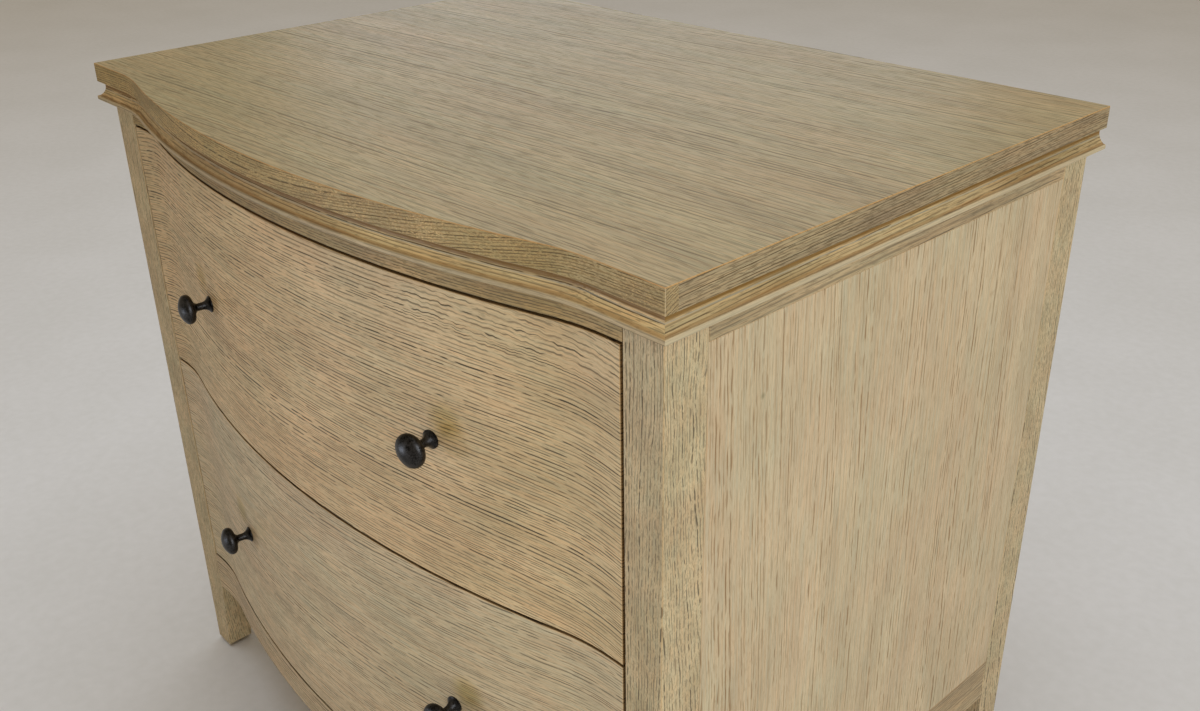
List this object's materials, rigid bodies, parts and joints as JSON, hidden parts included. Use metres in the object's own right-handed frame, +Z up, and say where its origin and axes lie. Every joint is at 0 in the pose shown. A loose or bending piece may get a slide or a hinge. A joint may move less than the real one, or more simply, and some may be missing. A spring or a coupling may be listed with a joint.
{
  "type": "nightstand",
  "caption": "Bow-front oak nightstand with a cove-moulded top, square posts, flush side panels and drawers with turned dark knobs on telescopic slides.",
  "frame": {"origin": "on the floor, under the middle of the whole piece's box, knobs included", "axes": "+X to the right as seen from the front, +Y from the drawer fronts to the back, +Z up"},
  "size_m": [0.7384, 0.5409, 0.6708],
  "materials": {
    "greyed_oak": "toasted and greyed oak, matt lacquer",
    "case_hardwood": "plain planed hardwood",
    "core_board": "fibreboard core, veneered over",
    "drawer_birch": "clear-lacquered birch",
    "plywood": "clear-lacquered plywood",
    "blackened_iron": "blackened, waxed",
    "slide_steel": "zinc plated",
    "screw_steel": "zinc plated",
    "glide_nylon": "moulded nylon"
  },
  "bodies": {
    "case": {"front_post_left": "greyed_oak", "back_post_left": "greyed_oak", "side_panel_left": "greyed_oak", "side_top_rail_left": "greyed_oak", "side_bottom_rail_left": "greyed_oak", "moulding_left": "greyed_oak", "top_edging_left": "greyed_oak", "front_post_right": "greyed_oak", "back_post_right": "greyed_oak", "side_panel_right": "greyed_oak", "side_top_rail_right": "greyed_oak", "side_bottom_rail_right": "greyed_oak", "moulding_right": "greyed_oak", "top_edging_right": "greyed_oak", "front_top_rail": "greyed_oak", "front_apron": "greyed_oak", "moulding_front": "greyed_oak", "top_edging_front": "greyed_oak", "top_veneer": "greyed_oak", "drawer_divider": "case_hardwood", "slide_cleats": "case_hardwood", "corner_blocks": "case_hardwood", "back_top_rail": "case_hardwood", "back_bottom_rail": "case_hardwood", "subtop_back_rail": "case_hardwood", "top_core": "core_board", "back_panel": "plywood", "bottom_board": "plywood", "foot_glides": "glide_nylon", "slide_case_members": "slide_steel"},
    "upper_drawer": {"upper_drawer_front": "greyed_oak", "upper_drawer_side_left": "drawer_birch", "upper_drawer_side_right": "drawer_birch", "upper_drawer_back": "drawer_birch", "upper_drawer_bottom": "plywood", "upper_drawer_knob_left": "blackened_iron", "upper_drawer_knob_right": "blackened_iron", "upper_drawer_knob_screws": "screw_steel", "upper_drawer_slide_members": "slide_steel"},
    "upper_slide": {"upper_slide_middle_members": "slide_steel"},
    "lower_drawer": {"lower_drawer_front": "greyed_oak", "lower_drawer_side_left": "drawer_birch", "lower_drawer_side_right": "drawer_birch", "lower_drawer_back": "drawer_birch", "lower_drawer_bottom": "plywood", "lower_drawer_knob_left": "blackened_iron", "lower_drawer_knob_right": "blackened_iron", "lower_drawer_knob_screws": "screw_steel", "lower_drawer_slide_members": "slide_steel"},
    "lower_slide": {"lower_slide_middle_members": "slide_steel"}
  },
  "joints": [
    {"name": "upper_drawer_slide", "type": "slide", "parent": "case", "child": "upper_drawer", "axis": [0, -1, 0], "range_m": [0, 0.4]},
    {"name": "upper_slide_run", "type": "slide", "parent": "case", "child": "upper_slide", "axis": [0, -1, 0], "range_m": [0, 0.2]},
    {"name": "lower_drawer_slide", "type": "slide", "parent": "case", "child": "lower_drawer", "axis": [0, -1, 0], "range_m": [0, 0.4]},
    {"name": "lower_slide_run", "type": "slide", "parent": "case", "child": "lower_slide", "axis": [0, -1, 0], "range_m": [0, 0.2]}
  ],
  "couplings": [
    {"joint": "upper_slide_run", "follows": "upper_drawer_slide", "ratio": 0.5},
    {"joint": "lower_slide_run", "follows": "lower_drawer_slide", "ratio": 0.5}
  ]
}
